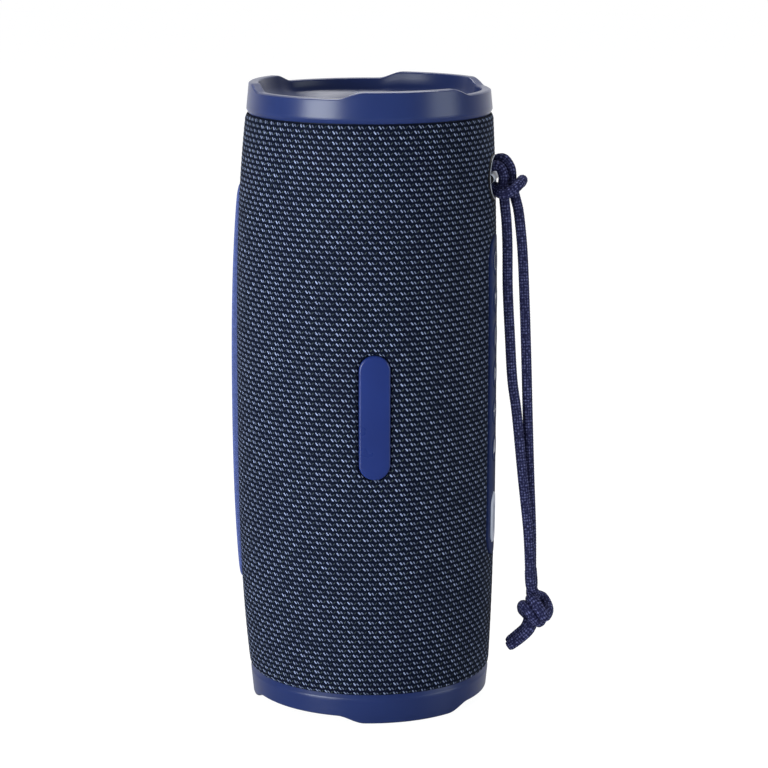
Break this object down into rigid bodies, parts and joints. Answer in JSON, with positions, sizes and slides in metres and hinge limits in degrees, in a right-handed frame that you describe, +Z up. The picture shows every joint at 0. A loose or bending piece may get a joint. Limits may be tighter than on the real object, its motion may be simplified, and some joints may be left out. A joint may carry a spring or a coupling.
{
  "type": "portable tube loudspeaker",
  "caption": "Portable tube loudspeaker on end: woven sleeve, wave-rimmed end rings, key strip, rubber foot strip, rear port door and a hitched cord lanyard.",
  "frame": {"origin": "middle of the footprint, on the plane of the bottom rim's crests", "axes": "+Z up the tube's axis, +X towards the key strip and lanyard eyelet, -X towards the rubber foot strip, -Y towards the listener, +Y towards the port door"},
  "size_m": [0.0932, 0.074, 0.178],
  "materials": {
    "ring_plastic": "satin moulded plastic",
    "woven_fabric": "two-tone basket weave",
    "strip_rubber": "matt moulded rubber",
    "foot_rubber": "matt moulded rubber",
    "badge_plastic": "satin with a bevelled edge",
    "grey_plastic": "smooth matt",
    "dark_plastic": "matt moulded",
    "black_rubber": "matt rubber",
    "disc_plastic": "fine spark texture",
    "cone_paper": "coated pulp",
    "steel": "plated",
    "magnet": "zinc plated",
    "board": "solder mask",
    "cell_wrap": "shrink wrap",
    "braided_cord": "braided cord"
  },
  "bodies": {
    "root": {"top_end_ring": "ring_plastic", "bottom_end_ring": "ring_plastic", "fabric_sleeve": "woven_fabric", "grille_tube": "dark_plastic", "inner_housing": "dark_plastic", "badge_plate": "badge_plastic", "key_strip": "strip_rubber", "key_board": "board", "foot_strip": "foot_rubber", "foot_carrier": "dark_plastic", "foot_screws": "steel", "eyelet": "grey_plastic", "port_tray": "dark_plastic", "usb_socket": "steel", "port_board": "board", "port_screws": "steel", "upper_driver_gasket": "black_rubber", "upper_driver_basket": "dark_plastic", "upper_driver_magnet": "magnet", "upper_driver_surround": "black_rubber", "lower_driver_gasket": "black_rubber", "lower_driver_basket": "dark_plastic", "lower_driver_magnet": "magnet", "lower_driver_surround": "black_rubber", "driver_screws": "steel", "top_radiator_frame": "dark_plastic", "top_radiator_surround": "black_rubber", "bottom_radiator_frame": "dark_plastic", "bottom_radiator_surround": "black_rubber", "radiator_screws": "steel", "battery_cells": "cell_wrap", "battery_cradle": "dark_plastic", "main_board": "board", "board_screws": "steel", "lanyard_hitch": "braided_cord", "lanyard_strand_a": "braided_cord", "lanyard_strand_b": "braided_cord", "lanyard_end_knot": "braided_cord"},
    "tone_key": {"tone_key": "strip_rubber"},
    "pair_key": {"pair_key": "strip_rubber"},
    "minus_key": {"minus_key": "strip_rubber"},
    "play_key": {"play_key": "strip_rubber"},
    "plus_key": {"plus_key": "strip_rubber"},
    "mode_key": {"mode_key": "strip_rubber"},
    "power_key": {"power_key": "grey_plastic"},
    "port_door": {"port_door": "black_rubber"},
    "top_radiator_disc": {"top_radiator_disc": "disc_plastic"},
    "bottom_radiator_disc": {"bottom_radiator_disc": "disc_plastic"},
    "upper_driver_cone": {"upper_driver_cone": "cone_paper"},
    "lower_driver_cone": {"lower_driver_cone": "cone_paper"}
  },
  "joints": [
    {"name": "tone_key_press", "type": "slide", "parent": "root", "child": "tone_key", "axis": [-1, 0, 0], "range_m": [0, 0.0006], "stiffness_N_per_m": 500},
    {"name": "pair_key_press", "type": "slide", "parent": "root", "child": "pair_key", "axis": [-1, 0, 0], "range_m": [0, 0.0006], "stiffness_N_per_m": 500},
    {"name": "minus_key_press", "type": "slide", "parent": "root", "child": "minus_key", "axis": [-1, 0, 0], "range_m": [0, 0.0006], "stiffness_N_per_m": 500},
    {"name": "play_key_press", "type": "slide", "parent": "root", "child": "play_key", "axis": [-1, 0, 0], "range_m": [0, 0.0006], "stiffness_N_per_m": 500},
    {"name": "plus_key_press", "type": "slide", "parent": "root", "child": "plus_key", "axis": [-1, 0, 0], "range_m": [0, 0.0006], "stiffness_N_per_m": 500},
    {"name": "mode_key_press", "type": "slide", "parent": "root", "child": "mode_key", "axis": [-1, 0, 0], "range_m": [0, 0.0006], "stiffness_N_per_m": 500},
    {"name": "power_key_press", "type": "slide", "parent": "root", "child": "power_key", "axis": [-1, 0, 0], "range_m": [0, 0.0006], "stiffness_N_per_m": 500},
    {"name": "port_door_hinge", "type": "hinge", "parent": "root", "child": "port_door", "pos_m": [0, 0.03606, 0.0387], "axis": [1, 0, 0], "range_deg": [0, 110]},
    {"name": "top_disc_travel", "type": "slide", "parent": "root", "child": "top_radiator_disc", "axis": [0, 0, 1], "range_m": [-0.0025, 0.0025], "stiffness_N_per_m": 1500, "deforming": ["top_radiator_surround"]},
    {"name": "bottom_disc_travel", "type": "slide", "parent": "root", "child": "bottom_radiator_disc", "axis": [0, 0, -1], "range_m": [-0.0025, 0.0025], "stiffness_N_per_m": 1500, "deforming": ["bottom_radiator_surround"]},
    {"name": "upper_cone_travel", "type": "slide", "parent": "root", "child": "upper_driver_cone", "axis": [0, -1, 0], "range_m": [-0.0015, 0.0015], "stiffness_N_per_m": 1500, "deforming": ["upper_driver_surround"]},
    {"name": "lower_cone_travel", "type": "slide", "parent": "root", "child": "lower_driver_cone", "axis": [0, -1, 0], "range_m": [-0.0015, 0.0015], "stiffness_N_per_m": 1500, "deforming": ["lower_driver_surround"]}
  ]
}
